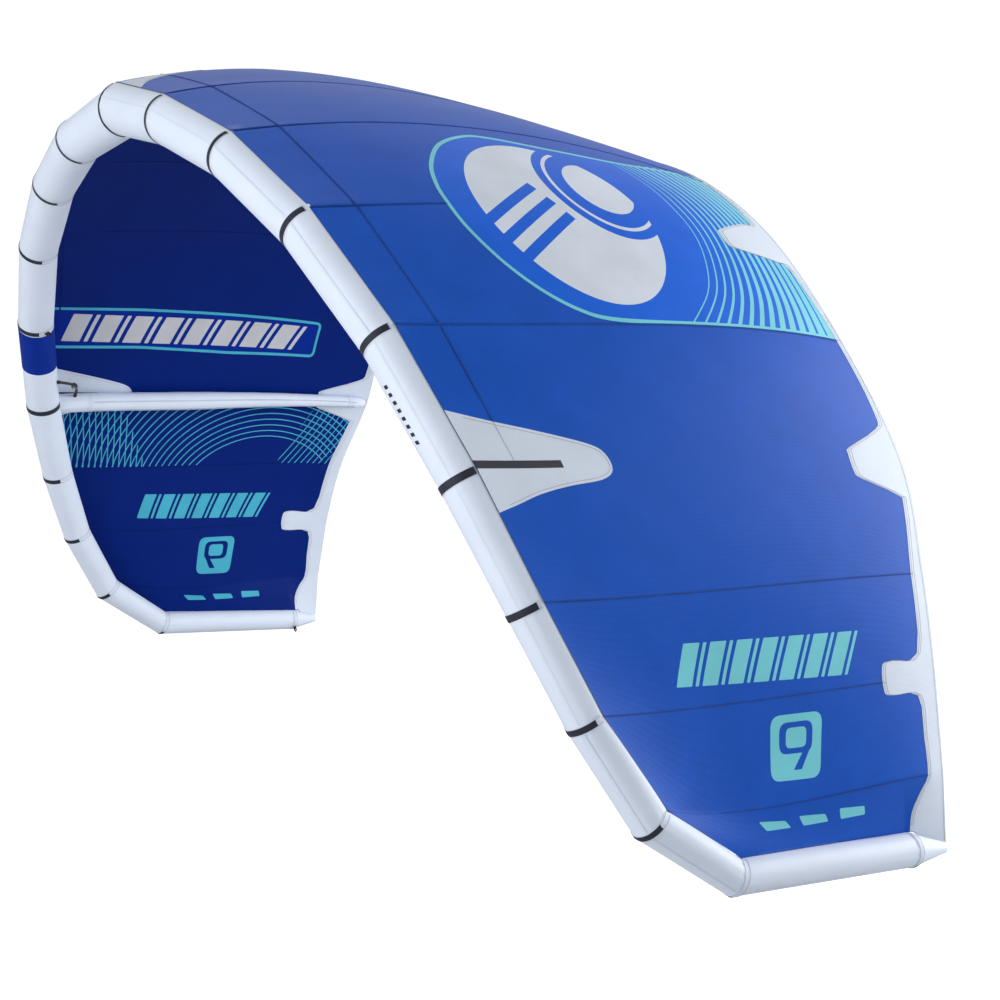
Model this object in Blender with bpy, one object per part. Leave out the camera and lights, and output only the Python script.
"""Inflatable kite: a tube leading edge, three struts and a single-skin canopy.

Units are metres. X is the span, -Y the leading edge, +Y the trailing edge and +Z up.
The origin is the middle of the leading-edge tube, on its centre line.

The leading edge is a chain of straight tapered casings that meet at mitred joints,
numbered from 0 at the middle to 10 near the tip. A rib line runs back over the canopy
from each joint to the trailing edge. The right half is modelled, and the left half is
its mirror image in the plane X = 0.
"""
import math

import bpy
import bmesh
from mathutils import Matrix, Vector
from mathutils.bvhtree import BVHTree

# ---------------------------------------------------------------- driving dimensions
GAP = 0.0003                  # clearance between neighbouring pieces
CLOTH = 0.0012                # canopy cloth with its seams
CASING_WALL = 0.0012          # woven tube casing
BLADDER_WALL = 0.0008         # inner bladder film
BLADDER_SLACK = 0.0012        # space between a casing and its bladder

# Leading-edge segments from the middle to the tip: length, drop below level, sweep back.
SEGMENT_LENGTH = (0.382, 0.370, 0.390, 0.401, 0.401, 0.341, 0.303, 0.303, 0.315, 0.638)
SEGMENT_DROP_DEG = (10, 19, 31, 44, 56, 65, 71, 76, 82, 60)
SEGMENT_SWEEP_DEG = (-1, 6, 9, 13, 16, 20, 24, 33, 58, 89)
JOINT_RADIUS = (0.080, 0.0735, 0.0705, 0.068, 0.0655, 0.0635, 0.059, 0.0545, 0.052, 0.048, 0.0465)
TIP_END = (0.012, 0.132, -0.006)       # from joint 10 to the middle of the closed tip end
TIP_END_RADIUS = 0.013
TUBE_SIDES = 24

# Canopy rib lines 0 to 8. The last one before the tip line is 8.
ATTACH_DEG = (-20, -20, -18, -15, -13, -11, -10, 0, 26, 55, 85)   # seam round the tube, from outwards
TRAILING_Y = (1.790, 1.752, 1.722, 1.703, 1.728, 1.781, 1.742, 1.727, 1.727)
TRAILING_RISE = (0.070, 0.084, 0.095, 0.093, 0.066, 0.048, 0.046, 0.035, 0.023)
TRAILING_SHIFT = (0.0, -0.020, -0.040, -0.054, -0.050, -0.048, -0.038, -0.032, -0.022)
TAIL_SLOPE = (0.12, 0.14, 0.18, 0.22, 0.17, 0.13, 0.12, 0.10, 0.08)
FREE_CHORD = 0.24             # past this share of the chord the canopy is smooth across its seams
CHORD_CELLS = 10
SPAN_CELLS = (2, 2, 2, 2, 2, 2, 2, 4, 6)
BAND_START = 0.972            # the trailing band covers the last of the chord

STRUT_RIBS = {"centre": 0, "right": 5}
STRUT_RADIUS = {"centre": 0.041, "right": 0.038}
STRUT_START = 0.085           # share of the chord of a strut's first full ring
STRUT_END = 0.985             # share of the chord where a strut ends
STRUT_DIP = (0.026, 0.24)     # depth under the canopy at the front, and the share where it ends
STRUT_TAPER_START = 0.45      # share of the chord where a strut starts to taper
STRUT_TAIL_RADIUS = 0.022
STRUT_TAIL = ((STRUT_END - 0.006, 0.80), (STRUT_END, 0.45))   # rounding: share of chord, of radius
STRUT_TAIL_DROP = 0.0015      # the tail hangs a little under the canopy
STRUT_SIDES = 16
BLADDER_SIDES = 12
STRUT_BLADDER_SLACK = 0.0032

VALVE_DEG = 128               # the inflation valve looks back and down from segment 0
VALVE_PLACE = 0.52            # share of segment 0
NECK_RADIUS = 0.0150
CARTRIDGE_RADIUS = 0.0122
NOZZLE_RADIUS = 0.0060
FLANGE_RADIUS = 0.0240
VALVE_TOP = 0.0110            # top of the cartridge above the casing
FLANGE_HEIGHT = (-0.008, 0.0018, 0.0030)     # buried foot, rim and bevelled top
FLANGE_BEVEL = 0.002
NECK_HEIGHT = (-0.0100, 0.0088)
CARTRIDGE_FOOT = -0.0085
BORE_REACH = 0.020            # half length of the cutters for the valve's holes
CAP_HINGE = (0.0, 0.0205, 0.0128)
HINGE_EAR = (0.0014, 0.0028, 0.0115)         # half width, half depth and height under the hinge
HINGE_EAR_PLACE = 0.0062
HINGE_PIN_RADIUS = 0.0018
CAP_THICKNESS = 0.0030
CAP_BEVEL = 0.001
CAP_PLUG = (0.0054, 0.0052, 0.0018)          # radius at the cap, radius at the end, length
CAP_ARM = (0.0044, 0.0120, 0.0012)           # half width, reach in front of and behind the hinge

HOSE_RADIUS = 0.0055
HOSE_START_DEG = 112          # where a hose leaves the leading edge
HOSE_SIDE = 0.125             # distance of that place from the strut
HOSE_REACH = 0.150            # distance back to where the hose enters the strut
HOSE_LEAD = 0.070
HOSE_POINTS = 14
HOSE_SIDES = 12
HOSE_ENTRY_LEAN = 0.25        # the hose enters the strut a little from below
CLIP_LENGTH = 0.031
CLIP_HALF_WIDTH = 0.0085
CLIP_RISE = 0.0015            # clip seat's height over the hose
CLIP_EAR = (0.008, 0.0012, 0.002, 0.008)     # length, half width, depth in the seat and height
LEVER_BARREL_RADIUS = 0.0030
LEVER_SETBACK = 0.004         # pivot's distance from the clip seat's end
LEVER_OVERHANG = 0.004
LEVER_SHOULDER = 0.0006
TAB_SIZE = (0.020, 0.003, 0.026)      # webbing tab: width, thickness, stand-off
TAB_EYE_RADIUS = 0.0045

COLOURS = {
    "casing": ((0.66, 0.70, 0.80), 0.55, 0.0),
    "canopy": ((0.03, 0.10, 0.45), 0.50, 0.0),
    "band": ((0.72, 0.75, 0.82), 0.60, 0.0),
    "bladder": ((0.75, 0.78, 0.80), 0.30, 0.0),
    "black_plastic": ((0.02, 0.02, 0.025), 0.40, 0.0),
    "grey_plastic": ((0.20, 0.21, 0.23), 0.40, 0.0),
    "webbing": ((0.02, 0.022, 0.03), 0.80, 0.0),
}

X_AXIS = Vector((1, 0, 0))
Y_AXIS = Vector((0, 1, 0))
MIRROR_X = Matrix.Scale(-1, 4, X_AXIS)
SIDES = {"right": Matrix.Identity(4), "left": MIRROR_X}


# ---------------------------------------------------------------- mesh helpers
def clear_scene():
    for obj in list(bpy.data.objects):
        bpy.data.objects.remove(obj, do_unlink=True)


def material(key):
    found = bpy.data.materials.get(key)
    if found:
        return found
    colour, roughness, metallic = COLOURS[key]
    made = bpy.data.materials.new(key)
    made.use_nodes = True
    shader = made.node_tree.nodes["Principled BSDF"]
    shader.inputs["Base Color"].default_value = (*colour, 1)
    shader.inputs["Roughness"].default_value = roughness
    shader.inputs["Metallic"].default_value = metallic
    return made


def add_object(name, bm, finish, place=None, smooth=True):
    """Close the bmesh into a mesh object with faces pointing out."""
    bmesh.ops.recalc_face_normals(bm, faces=bm.faces)
    mesh = bpy.data.meshes.new(name)
    bm.to_mesh(mesh)
    bm.free()
    if smooth:
        mesh.shade_smooth()
        mesh.set_sharp_from_angle(angle=math.radians(35))
    obj = bpy.data.objects.new(name, mesh)
    obj.data.materials.append(material(finish))
    bpy.context.scene.collection.objects.link(obj)
    if place is not None:
        obj.matrix_world = place
    return obj


def add_skin(bm, rings, loop=False):
    """Join rings of points, each to the next; the ends are capped, or joined if loop is set."""
    made = [[bm.verts.new(point) for point in ring] for ring in rings]
    pairs = list(zip(made, made[1:]))
    if loop:
        pairs.append((made[-1], made[0]))
    for ring, after in pairs:
        for i in range(len(ring)):
            j = (i + 1) % len(ring)
            bm.faces.new((ring[i], ring[j], after[j], after[i]))
    if not loop:
        bm.faces.new(made[0])
        bm.faces.new(made[-1])


def loft(name, rings, finish, transform=None, loop=False, place=None):
    bm = bmesh.new()
    add_skin(bm, rings, loop)
    if transform is not None:
        bmesh.ops.transform(bm, matrix=transform, verts=bm.verts)
    return add_object(name, bm, finish, place)


def circle(radius, height, sides=24):
    turn = 2 * math.pi / sides
    return [Vector((radius * math.cos(turn * i), radius * math.sin(turn * i), height)) for i in range(sides)]


def lathe(name, profile, finish, place):
    """Turn a closed profile of (radius, height) points, which has no point on the axis."""
    return loft(name, [circle(r, h) for r, h in profile], finish, loop=True, place=place)


def box(bm, low, high, shift=(0, 0, 0)):
    corners = [Vector((x, y, z)) + Vector(shift) for z in (low[2], high[2])
               for x, y in ((low[0], low[1]), (high[0], low[1]), (high[0], high[1]), (low[0], high[1]))]
    add_skin(bm, [corners[:4], corners[4:]])


def hide_cutter(obj):
    obj.hide_render = True
    obj.display_type = 'WIRE'
    obj.hide_set(True)
    return obj


def boolean(target, tool, operation):
    modifier = target.modifiers.new(operation.title(), 'BOOLEAN')
    modifier.operation = operation
    modifier.object = hide_cutter(tool)


def frame_matrix(origin, x_dir, z_dir):
    z_dir = z_dir.normalized()
    x_dir = (x_dir - x_dir.dot(z_dir) * z_dir).normalized()
    y_dir = z_dir.cross(x_dir)
    matrix = Matrix((x_dir, y_dir, z_dir)).transposed().to_4x4()
    matrix.translation = origin
    return matrix


# ---------------------------------------------------------------- leading-edge line
def segment_direction(index):
    drop = math.radians(SEGMENT_DROP_DEG[index])
    sweep = math.radians(SEGMENT_SWEEP_DEG[index])
    level = math.cos(sweep)
    return Vector((level * math.cos(drop), math.sin(sweep), -level * math.sin(drop)))


class LeadingEdge:
    """Joint centres, segment frames and rings of the right half of the tube."""

    def __init__(self):
        self.joint = [Vector((0, 0, 0))]
        self.along = []
        for index, length in enumerate(SEGMENT_LENGTH):
            self.along.append(segment_direction(index))
            self.joint.append(self.joint[-1] + self.along[-1] * length)
        self.joint.append(self.joint[-1] + Vector(TIP_END))
        self.along.append(Vector(TIP_END).normalized())
        self.radius = list(JOINT_RADIUS) + [TIP_END_RADIUS]
        # The outward and rearward directions turn with the tube, without twisting round it.
        back = (Y_AXIS - Y_AXIS.dot(self.along[0]) * self.along[0]).normalized()
        self.outward = [self.along[0].cross(back)]
        self.rearward = [back]
        for before, after in zip(self.along, self.along[1:]):
            turn = before.rotation_difference(after)
            self.outward.append(turn @ self.outward[-1])
            self.rearward.append(turn @ self.rearward[-1])

    def direction(self, segment, degrees):
        angle = math.radians(degrees)
        return self.outward[segment] * math.cos(angle) + self.rearward[segment] * math.sin(angle)

    def mitre(self, joint):
        """Normal of the plane in which two segments meet."""
        if joint == 0:
            return X_AXIS.copy()
        if joint == len(self.along):
            return self.along[-1]
        return (self.along[joint - 1] + self.along[joint]).normalized()

    def on_joint(self, joint, degrees, radius):
        """Point on the mitre plane at an angle round the tube."""
        segment = min(joint, len(self.along) - 1)
        along, normal = self.along[segment], self.mitre(joint)
        arm = self.direction(segment, degrees) * radius
        return self.joint[joint] + arm - along * (arm.dot(normal) / along.dot(normal))

    def ring(self, joint, shrink=0.0, sides=TUBE_SIDES, nudge=0.0):
        """Ring of points at a joint; nudge moves it along the line."""
        shift = self.mitre(joint) * nudge
        step = 360 / sides
        return [self.on_joint(joint, step * i, self.radius[joint] - shrink) + shift for i in range(sides)]

    def push_clear(self, point, clearance):
        """Move a point out to the clearance from the tube's surface, if it is nearer."""
        for segment in range(len(self.along)):
            start, along = self.joint[segment], self.along[segment]
            length = (self.joint[segment + 1] - start).length
            share = (point - start).dot(along) / length
            if not -0.05 <= share <= 1.05:
                continue
            axis_point = start + along * (share * length)
            arm = point - axis_point
            taper = self.radius[segment + 1] - self.radius[segment]
            reach = self.radius[segment] + taper * share + clearance
            if arm.length < reach:
                point = axis_point + arm.normalized() * reach
        return point


LINE = LeadingEdge()


# ---------------------------------------------------------------- canopy surface
def rib_drop(rib):
    """Mean drop angle of the segments on both sides of a rib line."""
    if rib == 0:
        return 0.0
    return math.radians((SEGMENT_DROP_DEG[rib - 1] + SEGMENT_DROP_DEG[rib]) / 2)


def attach_point(joint):
    reach = LINE.radius[joint] + GAP + CLOTH / 2
    return LINE.on_joint(joint, ATTACH_DEG[joint], reach)


def trailing_point(rib):
    drop = rib_drop(rib)
    outward = Vector((math.sin(drop), 0, math.cos(drop)))
    spanwise = Vector((math.cos(drop), 0, -math.sin(drop)))
    point = LINE.joint[rib] + outward * TRAILING_RISE[rib] + spanwise * TRAILING_SHIFT[rib]
    point.y = TRAILING_Y[rib]
    return point


def chord_station(index):
    """Share of the chord at a row of the canopy's mesh; the rows are closer near the front."""
    return BAND_START * (index / CHORD_CELLS) ** 1.35


def rib_point(rib, share):
    """Point on a rib line at a share of its chord; the tip line is rib 9."""
    if rib > 8:
        return tip_point(share)
    start, end = attach_point(rib), trailing_point(rib)
    chord = end - start
    drop = rib_drop(rib)
    outward = Vector((math.sin(drop), 0, math.cos(drop)))
    seat = LINE.direction(rib, ATTACH_DEG[rib])
    nose = (Y_AXIS - Y_AXIS.dot(seat) * seat).normalized() * chord.length
    tail = (chord.normalized() - outward * TAIL_SLOPE[rib]).normalized() * chord.length
    u2, u3 = share * share, share ** 3
    return (start * (2 * u3 - 3 * u2 + 1) + nose * (u3 - 2 * u2 + share)
            + end * (3 * u2 - 2 * u3) + tail * (u3 - u2))


def tip_point(share):
    """The canopy's lowest line lies on the top of the tip tube and its tapered end."""
    corner, seam = attach_point(9), attach_point(10)
    end = LINE.joint[11] + Vector((0, 0, TIP_END_RADIUS + GAP + CLOTH))
    knee = chord_station(CHORD_CELLS - 1)
    if share < knee:
        return corner.lerp(seam, share / knee)
    return seam.lerp(end, (share - knee) / (1 - knee))


def mirrored_rib(rib, share):
    point = rib_point(abs(rib), share)
    return Vector((-point.x, point.y, point.z)) if rib < 0 else point


def canopy_point(span, share):
    """Point on the right canopy; span counts rib lines from 0 at the middle to 9 at the tip."""
    rib = min(int(span), 8)
    t = span - rib
    before, start, end = (mirrored_rib(rib + i, share) for i in (-1, 0, 1))
    after = mirrored_rib(rib + 2, share) if rib < 8 else end * 2 - start
    straight = start.lerp(end, t)
    t2, t3 = t * t, t ** 3
    curved = (start * (2 * t3 - 3 * t2 + 1) + (end - before) * (0.5 * (t3 - 2 * t2 + t))
              + end * (3 * t2 - 2 * t3) + (after - start) * (0.5 * (t3 - t2)))
    if rib >= 7:
        curved = straight
    ease = min(share / FREE_CHORD, 1.0)
    point = straight.lerp(curved, ease * ease * (3 - 2 * ease))
    return LINE.push_clear(point, GAP + CLOTH / 2)


def sheet(name, grid, thickness, finish, transform):
    """Solid sheet of even thickness about a grid of middle points."""
    rows, columns = len(grid), len(grid[0])
    bm = bmesh.new()
    layers = []
    for side in (0.5, -0.5):
        layer = []
        for i in range(rows):
            row = []
            for j in range(columns):
                down = grid[min(i + 1, rows - 1)][j] - grid[max(i - 1, 0)][j]
                across = grid[i][min(j + 1, columns - 1)] - grid[i][max(j - 1, 0)]
                normal = down.cross(across).normalized()
                row.append(bm.verts.new(grid[i][j] + normal * (side * thickness)))
            layer.append(row)
        layers.append(layer)
    top, bottom = layers
    for i in range(rows - 1):
        for j in range(columns - 1):
            for layer in layers:
                bm.faces.new((layer[i][j], layer[i + 1][j], layer[i + 1][j + 1], layer[i][j + 1]))
    border = [(i, 0) for i in range(rows)] + [(rows - 1, j) for j in range(1, columns)]
    border += [(i, columns - 1) for i in range(rows - 2, -1, -1)] + [(0, j) for j in range(columns - 2, 0, -1)]
    for (i, j), (m, n) in zip(border, border[1:] + border[:1]):
        bm.faces.new((top[i][j], top[m][n], bottom[m][n], bottom[i][j]))
    bmesh.ops.transform(bm, matrix=transform, verts=bm.verts)
    return add_object(name, bm, finish)


def make_canopy():
    for panel, cells in enumerate(SPAN_CELLS):
        edge = 1.5 * GAP / 2 / SEGMENT_LENGTH[panel]
        spans = [panel + edge + (1 - 2 * edge) * i / cells for i in range(cells + 1)]
        grid = [[canopy_point(span, chord_station(row)) for span in spans] for row in range(CHORD_CELLS + 1)]
        for side, transform in SIDES.items():
            sheet(f"canopy_panel_{side}_{panel + 1}", grid, CLOTH, "canopy", transform)


def make_trailing_band():
    spans = [panel + i / cells for panel, cells in enumerate(SPAN_CELLS) for i in range(cells)] + [9]
    start = BAND_START + 0.0004
    grid = []
    for share in (start, 1.0):
        right = [canopy_point(span, share) for span in spans]
        left = [Vector((-point.x, point.y, point.z)) for point in reversed(right[1:])]
        grid.append(left + right)
    sheet("trailing_edge_band", grid, 1.6 * CLOTH, "band", Matrix.Identity(4))


# ---------------------------------------------------------------- leading edge pieces
def casing_rings(segment):
    """Outer and inner rings of one casing segment."""
    front, back, nudge = segment, segment + 1, GAP / 2
    outer = [LINE.ring(front, nudge=nudge), LINE.ring(back, nudge=-nudge)]
    inner = [LINE.ring(back, CASING_WALL, nudge=-nudge), LINE.ring(front, CASING_WALL, nudge=nudge)]
    return outer + inner


def make_leading_edge(valve_place):
    """Ten casing segments a side; the last one a side has the closed tip end."""
    for segment in range(9):
        for side, transform in SIDES.items():
            name = f"leading_edge_casing_{side}_{segment + 1:02d}"
            casing = loft(name, casing_rings(segment), "casing", transform, loop=True)
            if segment == 0 and side == "right":
                boolean(casing, valve_cutter(valve_place, "casing_valve_hole"), 'DIFFERENCE')
    corner = LINE.ring(9, nudge=GAP / 2)
    corner_inside = LINE.ring(9, CASING_WALL, nudge=GAP / 2)
    rings = [LINE.ring(11), LINE.ring(10), corner, corner_inside, LINE.ring(10, CASING_WALL),
             LINE.ring(11, CASING_WALL, nudge=-CASING_WALL)]
    for side, transform in SIDES.items():
        loft(f"leading_edge_casing_{side}_10", rings, "casing", transform)


def make_bladder(valve_place):
    """One long bladder from tip to tip, with a hole where the valve neck enters."""
    shrink = CASING_WALL + BLADDER_SLACK
    right = [LINE.ring(joint, shrink, BLADDER_SIDES) for joint in range(11)]
    right.append(LINE.ring(11, shrink, BLADDER_SIDES, nudge=-3 * CASING_WALL))
    left = [[Vector((-point.x, point.y, point.z)) for point in ring] for ring in reversed(right[1:])]
    bladder = loft("leading_edge_bladder", left + right, "bladder")
    wall = bladder.modifiers.new("Wall", 'SOLIDIFY')
    wall.thickness = BLADDER_WALL
    wall.offset = -1
    boolean(bladder, valve_cutter(valve_place, "bladder_valve_hole"), 'DIFFERENCE')


# ---------------------------------------------------------------- inflation valve
def valve_frame():
    """Z looks out of the tube along the valve axis, X along the tube."""
    share = VALVE_PLACE
    radius = JOINT_RADIUS[0] + (JOINT_RADIUS[1] - JOINT_RADIUS[0]) * share
    outward = LINE.direction(0, VALVE_DEG)
    origin = LINE.joint[0].lerp(LINE.joint[1], share) + outward * radius
    return frame_matrix(origin, LINE.along[0], outward)


def valve_cutter(place, name):
    bm = bmesh.new()
    add_skin(bm, [circle(NECK_RADIUS + GAP, -BORE_REACH), circle(NECK_RADIUS + GAP, BORE_REACH)])
    return hide_cutter(add_object(name, bm, "grey_plastic", place))


def make_valve(place):
    """Base bonded to the casing, turning check cartridge, and flip cap."""
    bm = bmesh.new()
    foot, rim_height, top = FLANGE_HEIGHT
    add_skin(bm, [circle(FLANGE_RADIUS, foot), circle(FLANGE_RADIUS, rim_height),
                  circle(FLANGE_RADIUS - FLANGE_BEVEL, top)])
    base = add_object("inflation_valve_base", bm, "grey_plastic", place)
    saddle = loft("valve_saddle", [LINE.ring(0, -GAP), LINE.ring(1, -GAP)], "grey_plastic")
    boolean(base, saddle, 'DIFFERENCE')
    bm = bmesh.new()
    add_skin(bm, [circle(NECK_RADIUS, height) for height in NECK_HEIGHT])
    boolean(base, add_object("valve_neck", bm, "grey_plastic", place), 'UNION')
    hinge = Vector(CAP_HINGE)
    width, depth, height = HINGE_EAR
    for x in (-HINGE_EAR_PLACE, HINGE_EAR_PLACE):
        bm = bmesh.new()
        box(bm, (-width, -depth, -height), (width, depth, depth), (x, hinge.y, hinge.z))
        boolean(base, add_object("valve_hinge_ear", bm, "grey_plastic", place, smooth=False), 'UNION')
    bm = bmesh.new()
    add_skin(bm, [circle(CARTRIDGE_RADIUS + GAP, -BORE_REACH), circle(CARTRIDGE_RADIUS + GAP, BORE_REACH)])
    boolean(base, add_object("valve_bore", bm, "grey_plastic", place), 'DIFFERENCE')

    rim, ledge = NECK_RADIUS - GAP, NECK_HEIGHT[1] + GAP
    profile = [(NOZZLE_RADIUS, CARTRIDGE_FOOT), (CARTRIDGE_RADIUS, CARTRIDGE_FOOT),
               (CARTRIDGE_RADIUS, ledge), (rim, ledge), (rim, VALVE_TOP), (NOZZLE_RADIUS, VALVE_TOP)]
    lathe("inflation_valve_cartridge", profile, "black_plastic", place)

    # The cap's own origin is on its hinge.
    cap_place = place @ Matrix.Translation(hinge)
    bm = bmesh.new()
    seat = VALVE_TOP + GAP - hinge.z
    top = seat + CAP_THICKNESS
    plug, plug_end, plug_length = CAP_PLUG
    rings = [circle(plug_end, seat - plug_length), circle(plug, seat), circle(rim, seat),
             circle(rim, top - CAP_BEVEL), circle(rim - CAP_BEVEL, top)]
    add_skin(bm, [[point - Vector((0, hinge.y, 0)) for point in ring] for ring in rings])
    cap = add_object("inflation_valve_cap", bm, "grey_plastic", cap_place)
    bm = bmesh.new()
    arm, reach, behind = CAP_ARM
    box(bm, (-arm, -reach, seat + GAP), (arm, behind, top - 2 * GAP))
    boolean(cap, add_object("cap_arm", bm, "grey_plastic", cap_place, smooth=False), 'UNION')
    bm = bmesh.new()
    add_skin(bm, [[Vector((x, point.x, point.y)) for point in circle(HINGE_PIN_RADIUS, 0, 16)]
                  for x in (-arm, arm)])
    boolean(cap, add_object("cap_pin", bm, "grey_plastic", cap_place), 'UNION')


# ---------------------------------------------------------------- struts
def strut_frame(rib, share, radius):
    """Strut centre under the canopy, with its outward, sideways and rearward directions."""
    step = 0.01
    top = rib_point(rib, share)
    rearward = (rib_point(rib, min(share + step, 1)) - rib_point(rib, max(share - step, 0))).normalized()
    spanwise = X_AXIS
    if rib:
        spanwise = canopy_point(rib + 0.1, share) - canopy_point(rib - 0.1, share)
    outward = spanwise.cross(rearward).normalized()
    depth, end = STRUT_DIP
    dip = depth * max(1 - share / end, 0) ** 2 + (STRUT_TAIL_DROP if share > STRUT_END - 0.05 else 0)
    centre = top - outward * (radius + dip + CLOTH / 2 + 3 * GAP)
    return centre, outward, rearward.cross(outward), rearward


def strut_radius(full, share):
    """Full over the front half, then an even taper to the tail."""
    taper = max(share - STRUT_TAPER_START, 0) / (STRUT_END - STRUT_TAPER_START)
    return full + (STRUT_TAIL_RADIUS - full) * taper


def strut_ring(rib, full, share, reach, sides):
    """Ring of points round the strut's centre; reach is its own radius."""
    centre, outward, sideways, _ = strut_frame(rib, share, strut_radius(full, share))
    turn = 2 * math.pi / sides
    return [centre + (outward * math.cos(turn * i) + sideways * math.sin(turn * i)) * reach
            for i in range(sides)]


def strut_skin(rib, full, first, shrink, sides):
    """Rings from the first station to the rounded tail, at the canopy's rows between them."""
    shares = [first] + [chord_station(row) for row in range(2, CHORD_CELLS)] + [STRUT_END - 0.02]
    rings = [strut_ring(rib, full, share, strut_radius(full, share) - shrink, sides) for share in shares]
    rings += [strut_ring(rib, full, share, (STRUT_TAIL_RADIUS - shrink) * part, sides)
              for share, part in STRUT_TAIL]
    return rings


def moved(ring, shift):
    return [point + shift for point in ring]


def leading_edge_tree():
    """Surface of the casings, which the strut fronts meet."""
    points, faces = [], []
    for joint in range(11):
        points.extend(LINE.ring(joint))
    mirror = [Vector((-point.x, point.y, point.z)) for point in points]
    offset = len(points)
    for joint in range(10):
        for i in range(TUBE_SIDES):
            a, b = joint * TUBE_SIDES + i, joint * TUBE_SIDES + (i + 1) % TUBE_SIDES
            face = (a, b, b + TUBE_SIDES, a + TUBE_SIDES)
            faces.append(face)
            faces.append(tuple(index + offset for index in face))
    return BVHTree.FromPolygons(points + mirror, faces)


def seat_ring(ring, tree, rearward, clearance):
    """Run each point of a ring forward until it is just clear of the leading edge."""
    seated = []
    for point in ring:
        place, normal, _, _ = tree.ray_cast(point, -rearward)
        lean = max(abs(normal.dot(rearward)), 0.25)
        seated.append(place + rearward * (clearance / lean))
    return seated


def make_struts():
    tree = leading_edge_tree()
    for place, rib in STRUT_RIBS.items():
        full = STRUT_RADIUS[place]
        near, far = (strut_frame(rib, STRUT_START * i, full)[0] for i in (1, 1.5))
        rearward = (far - near).normalized()
        outer, inner = (strut_skin(rib, full, STRUT_START, shrink, STRUT_SIDES)
                        for shrink in (0.0, CASING_WALL))
        inner[-1] = moved(inner[-1], -rearward * CASING_WALL)
        front, front_inside = (seat_ring(skin[0], tree, rearward, 4 * GAP) for skin in (outer, inner))
        casing = list(reversed(outer)) + [front, front_inside] + inner
        film = strut_bladder_rings(rib, full, rearward)
        sides = SIDES if rib else {"centre": Matrix.Identity(4)}
        for side, transform in sides.items():
            loft(f"strut_casing_{side}", casing, "casing", transform)
            loft(f"strut_bladder_{side}", film, "bladder", transform)


def strut_bladder_rings(rib, full, rearward):
    """Bladder film, closed at the tail and with a filling port at the front."""
    shrink = CASING_WALL + STRUT_BLADDER_SLACK
    first = STRUT_START + 0.01
    outer, inner = (strut_skin(rib, full, first, depth, BLADDER_SIDES)
                    for depth in (shrink, shrink + BLADDER_WALL))
    outer[-1] = moved(outer[-1], -rearward * 0.004)
    inner[-1] = moved(inner[-1], -rearward * (0.004 + BLADDER_WALL))
    port = strut_ring(rib, full, first, HOSE_RADIUS, BLADDER_SIDES)
    wall = rearward * BLADDER_WALL
    return list(reversed(outer)) + [port, moved(port, wall), moved(inner[0], wall)] + inner[1:]


# ---------------------------------------------------------------- one-pump hoses and clips
def bezier(p0, p1, p2, p3, t):
    s = 1 - t
    return p0 * s ** 3 + p1 * (3 * s * s * t) + p2 * (3 * s * t * t) + p3 * t ** 3


def hose_route(rib):
    """Centre line from the leading edge to the strut's side nearest the middle of the kite."""
    full = STRUT_RADIUS["right" if rib else "centre"]
    inboard = -1 if rib else 1
    segment = rib - 1 if rib else 0
    along = LINE.along[segment]
    taper = LINE.radius[rib + inboard] - LINE.radius[rib]
    radius = LINE.radius[rib] + taper * HOSE_SIDE / SEGMENT_LENGTH[segment]
    exit_dir = LINE.direction(segment, HOSE_START_DEG)
    start = LINE.joint[rib] + along * (inboard * HOSE_SIDE) + exit_dir * (radius + 2 * GAP)
    share = HOSE_REACH / TRAILING_Y[rib]
    centre, outward, sideways, rearward = strut_frame(rib, share, full)
    side = sideways if sideways.dot(along) * inboard > 0 else -sideways
    side = (side - outward * HOSE_ENTRY_LEAN).normalized()
    end = centre + side * (full + 2 * GAP)
    return [bezier(start, start + exit_dir * HOSE_LEAD, end + side * HOSE_LEAD, end, i / HOSE_POINTS)
            for i in range(HOSE_POINTS + 1)], -outward


def tube_rings(route, radius, sides):
    rings = []
    reference = None
    for i, point in enumerate(route):
        tangent = (route[min(i + 1, len(route) - 1)] - route[max(i - 1, 0)]).normalized()
        reference = tangent.orthogonal() if reference is None else reference
        across = (reference - reference.dot(tangent) * tangent).normalized()
        reference = across
        other = tangent.cross(across)
        rings.append([point + (across * math.cos(2 * math.pi * j / sides)
                               + other * math.sin(2 * math.pi * j / sides)) * radius for j in range(sides)])
    return rings


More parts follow.
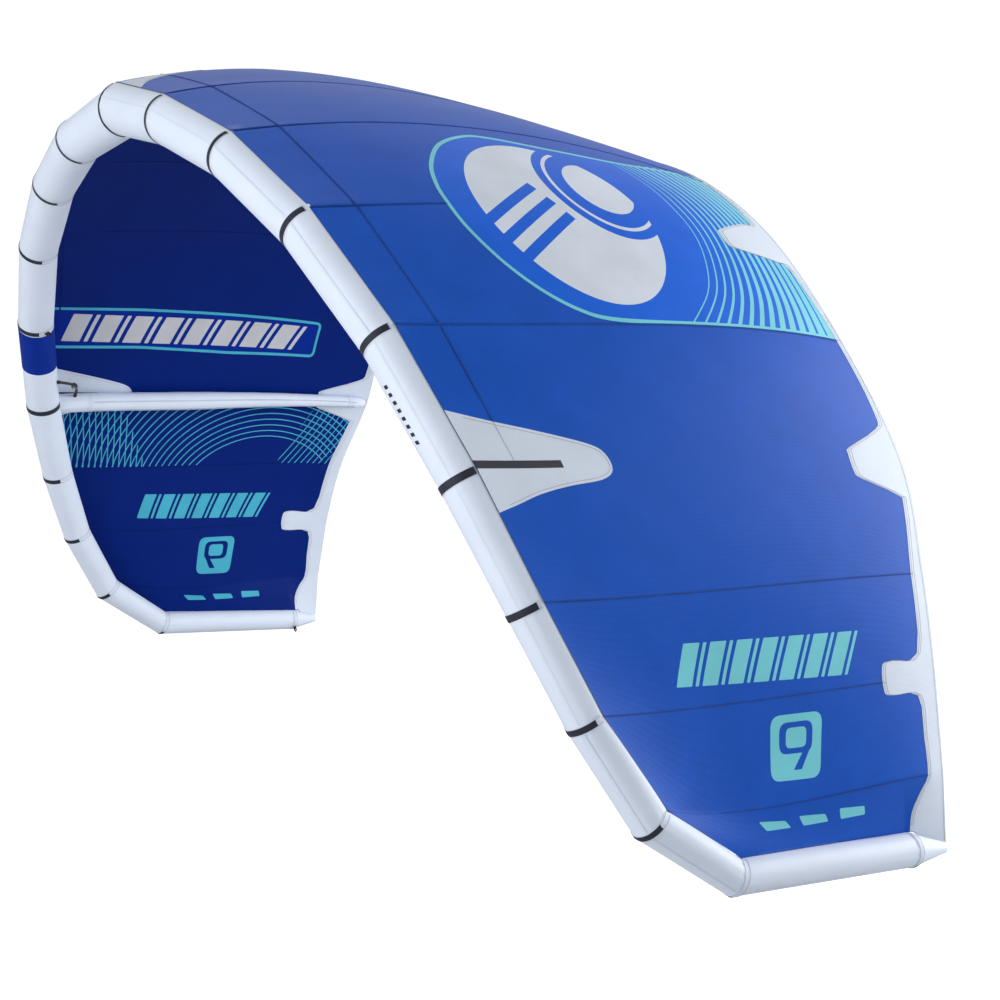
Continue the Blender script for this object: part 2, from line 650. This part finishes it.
def make_hoses():
    """A hose to each strut, with a moulded clip seat and a pinch lever."""
    for place, rib in STRUT_RIBS.items():
        route, inward = hose_route(rib)
        middle = len(route) // 2
        tangent = (route[middle + 1] - route[middle - 1]).normalized()
        upright = (route[middle + 4] - route[middle]).cross(route[middle] - route[middle - 4])
        if upright.dot(inward) < 0:
            upright.negate()
        seat = frame_matrix(route[middle], tangent, upright)
        sides = SIDES if rib else {"centre": Matrix.Identity(4)}
        half = CLIP_LENGTH / 2
        width, height = CLIP_HALF_WIDTH, HOSE_RADIUS + CLIP_RISE
        ear_length, ear_half, ear_depth, ear_height = CLIP_EAR
        for side, transform in sides.items():
            rings = tube_rings(route, HOSE_RADIUS, HOSE_SIDES)
            hose = loft(f"inflation_hose_{side}", rings, "black_plastic", transform)
            bm = bmesh.new()
            box(bm, (-half, -width, -height), (half, width, height))
            bmesh.ops.transform(bm, matrix=transform @ seat, verts=bm.verts)
            boolean(hose, add_object(f"clip_seat_{side}", bm, "black_plastic", smooth=False), 'UNION')
            for y in (-width + ear_half, width - ear_half):
                bm = bmesh.new()
                box(bm, (-half, y - ear_half, height - ear_depth),
                    (-half + ear_length, y + ear_half, height + ear_height))
                bmesh.ops.transform(bm, matrix=transform @ seat, verts=bm.verts)
                boolean(hose, add_object(f"clip_ear_{side}", bm, "black_plastic", smooth=False), 'UNION')
            make_lever(side, transform, seat, half, width - 2 * ear_half - GAP, height)


def make_lever(side, transform, seat, half, reach, height):
    """Lever with its barrel between the ears; its origin is on the barrel's axis."""
    barrel = LEVER_BARREL_RADIUS
    pivot = seat @ Vector((-half + LEVER_SETBACK, 0, height + GAP + barrel))
    local = seat.copy()
    local.translation = pivot
    bm = bmesh.new()
    rings = [[Vector((point.x, y, point.y)) for point in circle(barrel, 0, 16)] for y in (-reach, reach)]
    add_skin(bm, rings)
    place = transform @ local @ transform
    bmesh.ops.transform(bm, matrix=transform, verts=bm.verts)
    lever = add_object(f"hose_clip_lever_{side}", bm, "grey_plastic", place)
    bm = bmesh.new()
    side_reach = reach - LEVER_SHOULDER
    box(bm, (GAP, -side_reach, -barrel + GAP), (CLIP_LENGTH + LEVER_OVERHANG, side_reach, GAP))
    bmesh.ops.transform(bm, matrix=transform, verts=bm.verts)
    boolean(lever, add_object(f"lever_bar_{side}", bm, "grey_plastic", place, smooth=False), 'UNION')


# ---------------------------------------------------------------- webbing tabs
def make_tab(name, joint, degrees):
    """Flat webbing tab with an eye, standing off the tube at a joint."""
    width, thickness, stand = TAB_SIZE
    outward = LINE.direction(joint, degrees)
    foot = LINE.on_joint(joint, degrees, LINE.radius[joint] + 0.0006)
    across = LINE.mitre(joint).cross(outward)
    place = frame_matrix(foot, across, outward)
    for side, transform in SIDES.items():
        bm = bmesh.new()
        outline = [Vector((-width / 2, 0, 0)), Vector((width / 2, 0, 0))]
        outline += [Vector((width / 2 * math.cos(a), 0, stand - width / 2 + width / 2 * math.sin(a)))
                    for a in (math.pi * i / 12 for i in range(13))]
        rings = [[point + Vector((0, y, 0)) for point in outline] for y in (-thickness / 2, thickness / 2)]
        add_skin(bm, rings)
        bmesh.ops.transform(bm, matrix=transform @ place, verts=bm.verts)
        tab = add_object(f"{name}_{side}", bm, "webbing", smooth=False)
        bm = bmesh.new()
        eye = [[Vector((point.x, y, point.y + stand - width / 2)) for point in circle(TAB_EYE_RADIUS, 0, 20)]
               for y in (-thickness, thickness)]
        add_skin(bm, eye)
        bmesh.ops.transform(bm, matrix=transform @ place, verts=bm.verts)
        boolean(tab, add_object(f"{name}_eye_{side}", bm, "webbing"), 'DIFFERENCE')


def main():
    clear_scene()
    valve_place = valve_frame()
    make_leading_edge(valve_place)
    make_bladder(valve_place)
    make_valve(valve_place)
    make_canopy()
    make_trailing_band()
    make_struts()
    make_hoses()
    make_tab("bridle_tab", 4, 150)
    make_tab("tip_line_tab", 10, 195)


main()
